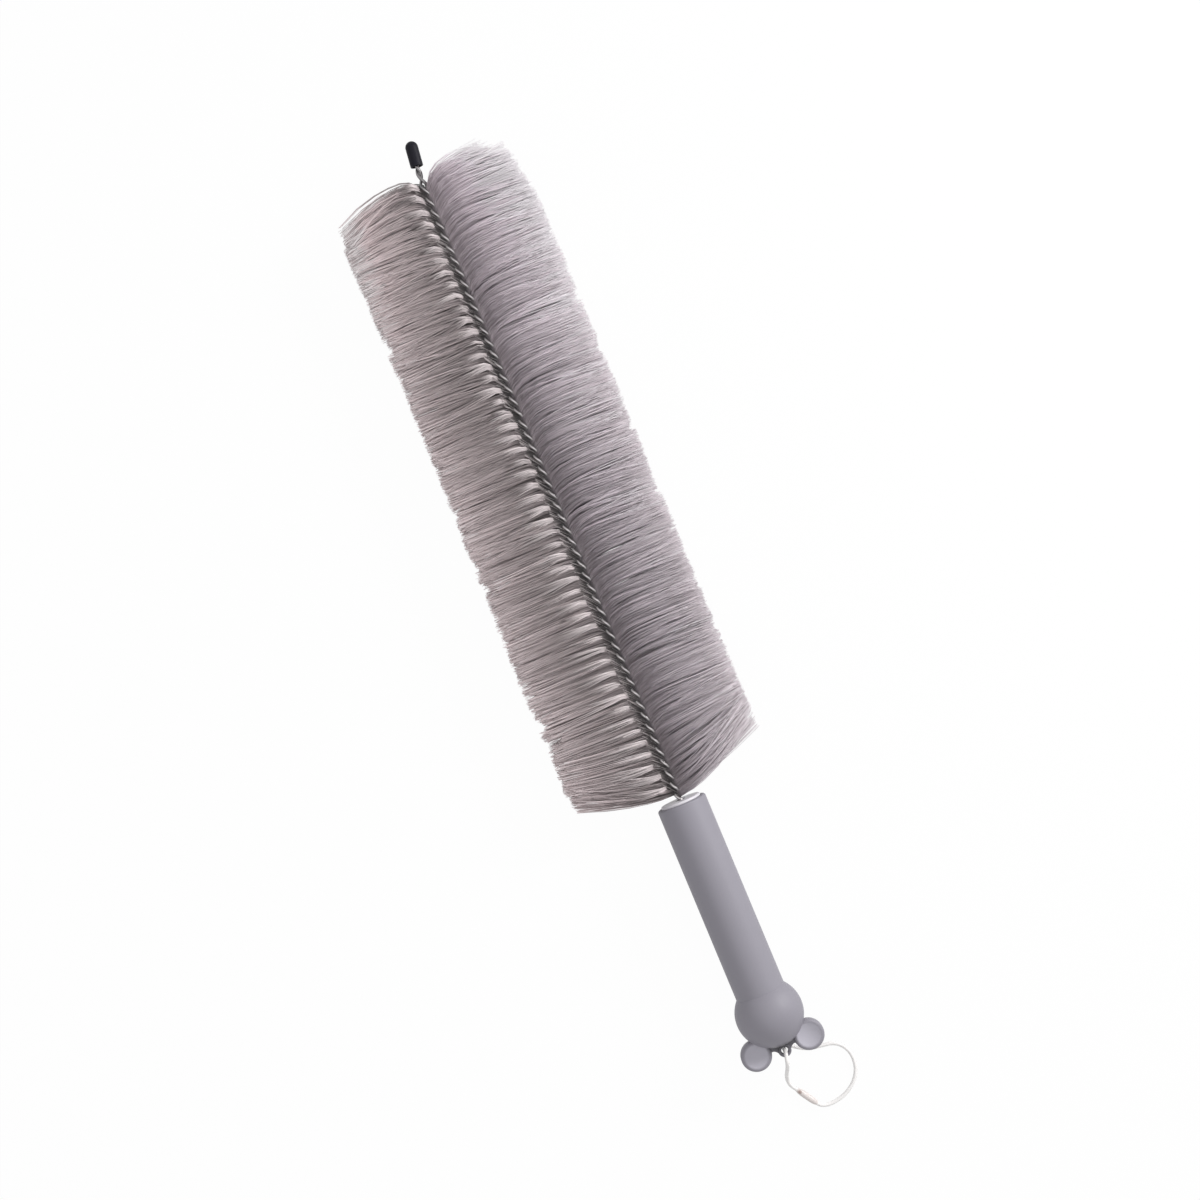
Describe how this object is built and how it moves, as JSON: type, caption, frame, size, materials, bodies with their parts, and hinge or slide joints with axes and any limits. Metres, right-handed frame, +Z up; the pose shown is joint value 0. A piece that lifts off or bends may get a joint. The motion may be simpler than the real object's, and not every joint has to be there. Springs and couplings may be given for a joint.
{
  "type": "flexible duster",
  "caption": "Bendable cleaning duster: twisted-wire stem with two flat wings of soft filaments, tube handle, ball-end knob and hanging cord loop.",
  "frame": {"origin": "middle of the base on which the duster lies, below the centre of its box without the hanging cord", "axes": "+Y along the stem from the handle towards the tip, +X across the wings, +Z up from the base"},
  "size_m": [0.1, 0.5195, 0.034],
  "materials": {
    "grip_plastic": "satin moulded grey",
    "plug_plastic": "satin white",
    "stem_steel": "dull dark steel wire",
    "bristle_filament": "soft translucent grey filament",
    "cap_rubber": "satin black",
    "cord_white": "smooth off-white cord",
    "sleeve_clear": "milky shrink sleeve"
  },
  "bodies": {
    "handle": {"grip_tube": "grip_plastic", "end_knob": "grip_plastic", "stem_plug": "plug_plastic", "stem_wire_a_1": "stem_steel", "stem_wire_b_1": "stem_steel", "bristles_1": "bristle_filament"},
    "brush_2": {"stem_wire_a_2": "stem_steel", "stem_wire_b_2": "stem_steel", "bristles_2": "bristle_filament"},
    "brush_3": {"stem_wire_a_3": "stem_steel", "stem_wire_b_3": "stem_steel", "bristles_3": "bristle_filament"},
    "brush_4": {"stem_wire_a_4": "stem_steel", "stem_wire_b_4": "stem_steel", "bristles_4": "bristle_filament", "tip_cap": "cap_rubber"},
    "hang_loop": {"hang_cord": "cord_white", "cord_sleeve": "sleeve_clear"}
  },
  "joints": [
    {"name": "stem_bend_1", "type": "hinge", "parent": "handle", "child": "brush_2", "pos_m": [0, -0.02103, 0.017], "axis": [1, 0, 0], "range_deg": [-30, 30]},
    {"name": "stem_bend_2", "type": "hinge", "parent": "brush_2", "child": "brush_3", "pos_m": [0, 0.05957, 0.017], "axis": [1, 0, 0], "range_deg": [-30, 30]},
    {"name": "stem_bend_3", "type": "hinge", "parent": "brush_3", "child": "brush_4", "pos_m": [0, 0.14017, 0.017], "axis": [1, 0, 0], "range_deg": [-30, 30]},
    {"name": "loop_swing", "type": "hinge", "parent": "handle", "child": "hang_loop", "pos_m": [0, -0.23835, 0.017], "axis": [0, 0, 1], "range_deg": [-30, 40]}
  ]
}
